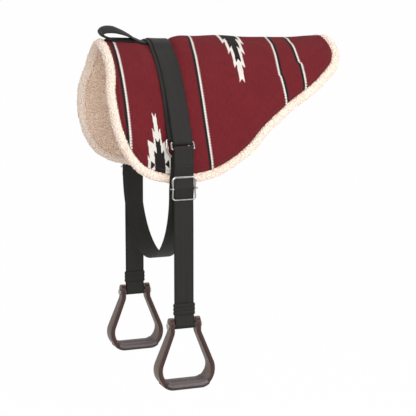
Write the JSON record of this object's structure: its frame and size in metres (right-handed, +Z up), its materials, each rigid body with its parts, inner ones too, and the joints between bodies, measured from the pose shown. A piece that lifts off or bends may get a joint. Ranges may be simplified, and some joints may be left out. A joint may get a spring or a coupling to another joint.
{
  "type": "bareback pad",
  "caption": "Padded bareback riding pad with a fleece edge, webbing straps over the withers, a grab handle, a girth, and stirrups hanging on straps with slide buckles.",
  "frame": {"origin": "under the pad's ridge at half its length, where the lining rests on the horse's spine", "axes": "+X towards the tail, +Y towards the off (right) side, +Z up"},
  "size_m": [0.6439, 0.4476, 0.8768],
  "materials": {
    "blanket": "woven wool blend, matt",
    "foam": "open-cell foam padding, matt",
    "fleece": "deep tufted fleece",
    "webbing": "woven nylon, slight sheen",
    "steel": "nickel plate, bright",
    "wood": "dark stained, satin",
    "leather": "worn, low sheen"
  },
  "bodies": {
    "pad": {"top_cover": "blanket", "foam_core": "foam", "fleece_lining": "fleece", "edge_roll": "fleece", "under_strap": "webbing", "over_strap": "webbing", "grab_handle": "webbing", "near_dee": "steel", "off_dee": "steel"},
    "girth": {"girth_strap": "webbing"},
    "near_ring": {"near_strap_ring": "steel"},
    "near_strap": {"near_strap_loop": "webbing"},
    "near_buckle": {"near_buckle_frame": "steel", "near_buckle_bar": "steel"},
    "near_hanger": {"near_stirrup_strap": "webbing", "near_strap_keeper": "webbing"},
    "near_stirrup": {"near_stirrup_frame": "wood", "near_tread_cover": "leather", "near_stirrup_bolt": "steel", "near_bolt_sleeve": "steel", "near_bolt_nut": "steel"},
    "off_ring": {"off_strap_ring": "steel"},
    "off_strap": {"off_strap_loop": "webbing"},
    "off_buckle": {"off_buckle_frame": "steel", "off_buckle_bar": "steel"},
    "off_hanger": {"off_stirrup_strap": "webbing", "off_strap_keeper": "webbing"},
    "off_stirrup": {"off_stirrup_frame": "wood", "off_tread_cover": "leather", "off_stirrup_bolt": "steel", "off_bolt_sleeve": "steel", "off_bolt_nut": "steel"}
  },
  "joints": [
    {"name": "girth_swing", "type": "hinge", "parent": "pad", "child": "girth", "pos_m": [-0.15395, 0, -0.23129], "axis": [0, 1, 0], "range_deg": [-12, 12]},
    {"name": "near_ring_swing", "type": "hinge", "parent": "pad", "child": "near_ring", "pos_m": [-0.14495, -0.18559, -0.22129], "axis": [-1, 0, 0], "range_deg": [0, 45]},
    {"name": "near_strap_swing", "type": "hinge", "parent": "near_ring", "child": "near_strap", "pos_m": [-0.14495, -0.19385, -0.23615], "axis": [-1, 0, 0], "range_deg": [0, 35]},
    {"name": "near_buckle_slide", "type": "slide", "parent": "near_strap", "child": "near_buckle", "axis": [0, 0, -1], "range_m": [-0.03, 0.075], "deforming": ["near_strap_loop"]},
    {"name": "near_length_adjust", "type": "slide", "parent": "near_buckle", "child": "near_hanger", "axis": [0, 0, 1], "range_m": [-0.06, 0.15], "deforming": ["near_stirrup_strap"]},
    {"name": "near_stirrup_swing", "type": "hinge", "parent": "near_hanger", "child": "near_stirrup", "pos_m": [-0.14495, -0.1962, -0.67329], "axis": [1, 0, 0], "range_deg": [-60, 60]},
    {"name": "off_ring_swing", "type": "hinge", "parent": "pad", "child": "off_ring", "pos_m": [-0.14495, 0.18559, -0.22129], "axis": [1, 0, 0], "range_deg": [0, 45]},
    {"name": "off_strap_swing", "type": "hinge", "parent": "off_ring", "child": "off_strap", "pos_m": [-0.14495, 0.19385, -0.23615], "axis": [1, 0, 0], "range_deg": [0, 35]},
    {"name": "off_buckle_slide", "type": "slide", "parent": "off_strap", "child": "off_buckle", "axis": [0, 0, -1], "range_m": [-0.03, 0.075], "deforming": ["off_strap_loop"]},
    {"name": "off_length_adjust", "type": "slide", "parent": "off_buckle", "child": "off_hanger", "axis": [0, 0, 1], "range_m": [-0.06, 0.15], "deforming": ["off_stirrup_strap"]},
    {"name": "off_stirrup_swing", "type": "hinge", "parent": "off_hanger", "child": "off_stirrup", "pos_m": [-0.14495, 0.1962, -0.67329], "axis": [-1, 0, 0], "range_deg": [-60, 60]}
  ],
  "couplings": [
    {"joint": "near_buckle_slide", "follows": "near_length_adjust", "ratio": 0.5},
    {"joint": "off_buckle_slide", "follows": "off_length_adjust", "ratio": 0.5}
  ]
}
